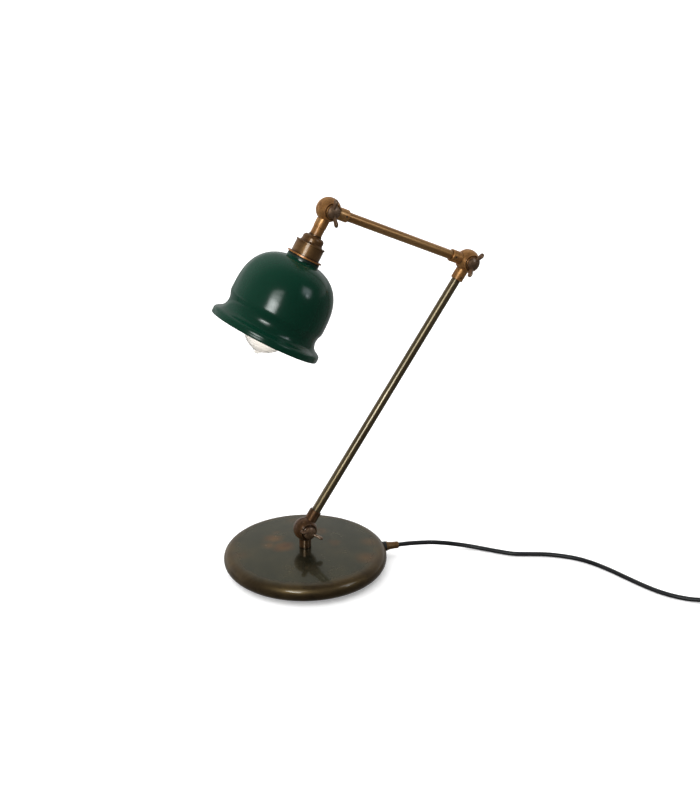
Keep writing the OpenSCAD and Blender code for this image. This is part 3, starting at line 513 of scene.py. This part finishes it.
def shade():
    outline = [(NECK, NECK_R - 1.0), (NECK + 0.5, NECK_R - 0.5), (NECK + 1.2, NECK_R),
               (NECK + 2, NECK_R)]
    edge_points = 3
    first = math.asin((NECK_R / DOME_R) ** (DOME_POWER / 2))
    for i in range(DOME_STEPS + 1):
        a = first + (math.pi / 2 - first) * i / DOME_STEPS
        outline.append((DOME_END - DOME_H * max(math.cos(a), 0) ** (2 / DOME_POWER),
                        DOME_R * math.sin(a) ** (2 / DOME_POWER)))
    # the waist, from the dome's end to the rim
    knots = [(DOME_END + out, DOME_R - share * WAIST_DIP) for out, share in (
        (0, 0), (4.5, 0), (7.5, 0.15), (10.5, 0.48), (13.5, 0.82), (17, 1))]
    knots += [(DOME_END + out, DOME_R - WAIST_DIP + more) for out, more in ((21, 0.1), (25, 1.2))]
    knots += [(DOME_END + out, RIM_R - less) for out, less in (
        (28, 10.6), (31, 7), (33.5, 2.6), (35.4, 0.6), (37.6, 0), (40, 0))]
    knots.append((RIM_END - 2, RIM_R))
    outline += [tuple(p) for p in catmull([Vector(p) for p in knots], 5)[1:]]
    walls = [Vector(p) for p in outline[edge_points:]]
    # rolled edge
    for i in range(1, BEAD_STEPS + 1):
        a = math.radians(20) * i
        outline.append((RIM_END - BEAD + BEAD * math.sin(a), RIM_R - BEAD + BEAD * math.cos(a)))
    outside = len(outline)
    # the inside, a sheet's thickness from the outside
    inner = []
    for i, p in enumerate(walls):
        h = walls[min(i + 1, len(walls) - 1)] - walls[max(i - 1, 0)]
        h.normalize()
        inner.append((p.x + h.y * SHEET, p.y - h.x * SHEET))
    outline += [(s, r) for s, r in inner if s > NECK + SHEET][::-1]
    outline += [(NECK + SHEET, NECK_R - SHEET), (NECK + SHEET, BORE_R), (NECK, BORE_R)]
    verts, faces, places = lathe(outline, J3, AXIS, 192)
    o = add_mesh("shade_shell", verts, faces, ["green", "white"], "head",
                 sharp=50)
    for poly, place in zip(o.data.polygons, places):
        poly.material_index = 1 if outside < place < len(outline) - 2 else 0
    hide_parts("shade")


shade()


# ---------- turned rings on the knuckles, in millimetres ----------
HUB_RING_R, HUB_BEAD_R = 11.4, 1.3
HUB_FACE = 12.7


def hub_ring(name, centre, body, material_key):
    """A bead round the spot face, on the front half of a ball knuckle."""
    around, across = 72, 12
    verts, faces = [], []
    for i in range(around):
        way = heading(2 * math.pi * i / around)
        for k in range(across):
            b = 2 * math.pi * k / across
            verts.append((centre + (HUB_RING_R + HUB_BEAD_R * math.cos(b)) * way
                          - (HUB_FACE + HUB_BEAD_R * math.sin(b)) * SIDE) * MM)
    for i in range(around):
        p, q = i * across, (i + 1) % around * across
        for k in range(across):
            m = (k + 1) % across
            faces.append([q + k, q + m, p + m, p + k])
    add_mesh(name, verts, faces, [material_key], body, sharp=60)


hub_ring("base_hub_ring", J1, "lower_arm", "brown")
hub_ring("elbow_hub_ring", J2, "lower_arm", "gold")
hub_ring("head_hub_ring", J3, "head", "gold_head")


# ---------- floor, world and lights ----------
FLOOR_HALF, FLOOR_Z = 60.0, -0.0003
FLOOR_GLOW = 0.25


def seen_through(g):
    """1 for what the camera sees, also through the bulb's glass, and 0 for other rays."""
    rays = g.node("LightPath").outputs
    return g.calc("MAXIMUM", rays["Is Camera Ray"], rays["Is Transmission Ray"])


def floor():
    """White to the camera, and a mid grey table to the light that it throws back."""
    me = bpy.data.meshes.new("floor")
    s, z = FLOOR_HALF, FLOOR_Z
    me.from_pydata([(-s, -s, z), (s, -s, z), (s, s, z), (-s, s, z)], [], [(0, 1, 2, 3)])
    g = material("floor")
    n = g.noise(g.coords(), 30, 3, 0.5)
    white = g.ramp(n, [(0.3, (0.90, 0.90, 0.90)), (0.7, (0.92, 0.92, 0.92))])
    view = seen_through(g)
    me.materials.append(g.surface(
        Base_Color=g.mix(view, (0.32, 0.32, 0.31), white), Roughness=0.9,
        Emission_Color=(1, 1, 1), Emission_Strength=g.calc("MULTIPLY", view, FLOOR_GLOW)))
    o = bpy.data.objects.new("floor", me)
    o.visible_glossy = False
    bpy.context.scene.collection.objects.link(o)


BACKWARD = (0.30, 0.95, 0.0)
BRIGHT = (-0.51, 0.86, 0.0)
WALL_TO = 0.25


def studio():
    """The world: white to the camera, a room to reflections, and the soft light.

    Reflections see a dark room on the camera's side and pale walls behind the lamp.
    Diffuse light is stronger from the left and from behind.
    """
    world = bpy.data.worlds.new("studio")
    bpy.context.scene.world = world
    g = Graph(world)
    way = g.node("TexCoord").outputs["Generated"]
    up = g.node("SeparateXYZ", {0: way}).outputs[2]
    back = g.remap(g.dot(way, BACKWARD), -1, 1)
    bright = g.remap(g.dot(way, BRIGHT), -1, 1)
    room = g.ramp(back, [(0.30, 0.03), (0.50, 0.06), (0.62, 0.20), (0.80, 0.34)])
    wall = g.ramp(back, [(0.40, 0.05), (0.55, 0.36), (0.70, 0.64)])
    below = g.ramp(back, [(0.20, 0.03), (0.50, 0.08), (0.72, 0.15), (0.75, 0.03), (0.78, 0.20),
                          (0.90, 0.30)])
    soft = g.ramp(bright, [(0.0, 0.30), (0.21, 0.42), (0.34, 1.65), (0.52, 1.30), (0.68, 2.20),
                           (1.0, 2.60)])
    above = g.mix(g.remap(up, 0.0, WALL_TO), wall, room)
    mirrored = g.mix(g.calc("GREATER_THAN", up, 0.0), below, above)
    lit = g.mix(seen_through(g), soft, 1.0)
    glossy = g.node("LightPath").outputs["Is Glossy Ray"]
    g.output("OutputWorld", g.node("Background", {"Color": g.mix(glossy, lit, mirrored)}))


SHADE_MIDDLE = Vector((-0.06, -0.055, 0.43))
KEY_COLOUR = (0.95, 1.0, 0.98)
FADES = (("X", 0.75), ("Y", 0.30))
FADE_PEAK = 1.45


def softbox(name, azimuth, elevation, distance, size, radiance, roll, colour):
    """A box of light in that direction from the shade and facing it, fading to its edges.

    It gives highlights only: the soft light comes from the world.
    The size is in metres, and the radiance in W/m2/sr.
    """
    width, height = size
    data = bpy.data.lights.new(name, "AREA")
    data.shape = "RECTANGLE"
    data.size, data.size_y = width, height
    data.energy = radiance * math.pi * width * height
    data.color = colour
    g = Graph(data)
    place = g.node("SeparateXYZ", {0: g.node("NewGeometry").outputs["Parametric"]}).outputs
    strength = FADE_PEAK
    for axis, power in FADES:
        product = g.calc("MULTIPLY", place[axis], g.calc("SUBTRACT", 1.0, place[axis]))
        bell = g.node("Math", {0: product, 1: 4.0}, operation="MULTIPLY", use_clamp=True)
        strength = g.calc("MULTIPLY", g.calc("POWER", bell.outputs[0], power), strength)
    g.output("OutputLight", g.node("Emission", {"Color": (1, 1, 1), "Strength": strength}))
    lamp = bpy.data.objects.new(name, data)
    lamp.visible_diffuse = False
    bpy.context.scene.collection.objects.link(lamp)
    a, e = math.radians(azimuth), math.radians(elevation)
    d = Vector((math.cos(a) * math.cos(e), math.sin(a) * math.cos(e), math.sin(e)))
    lamp.location = SHADE_MIDDLE + d * distance
    lamp.rotation_mode = "QUATERNION"
    lamp.rotation_quaternion = (-d).to_track_quat("-Z", "Y") @ Quaternion(
        (0, 0, 1), math.radians(roll))


floor()
studio()
softbox("key_low", -131, 17.8, 2.2, (1.02, 0.33), 12.0, -24, KEY_COLOUR)
softbox("key_mid", -129, 26.3, 2.2, (1.12, 0.34), 3.9, -14, KEY_COLOUR)
softbox("key_top", -125, 34.3, 2.2, (1.10, 0.30), 2.3, -6, KEY_COLOUR)
softbox("side_low", -54, 14, 2.4, (0.24, 0.26), 5.0, 30, (0.88, 0.94, 1.0))
softbox("side_wide", -50, 23, 2.4, (0.95, 0.95), 1.8, 45, (0.84, 0.92, 1.0))
bpy.context.scene.view_settings.view_transform = "Standard"
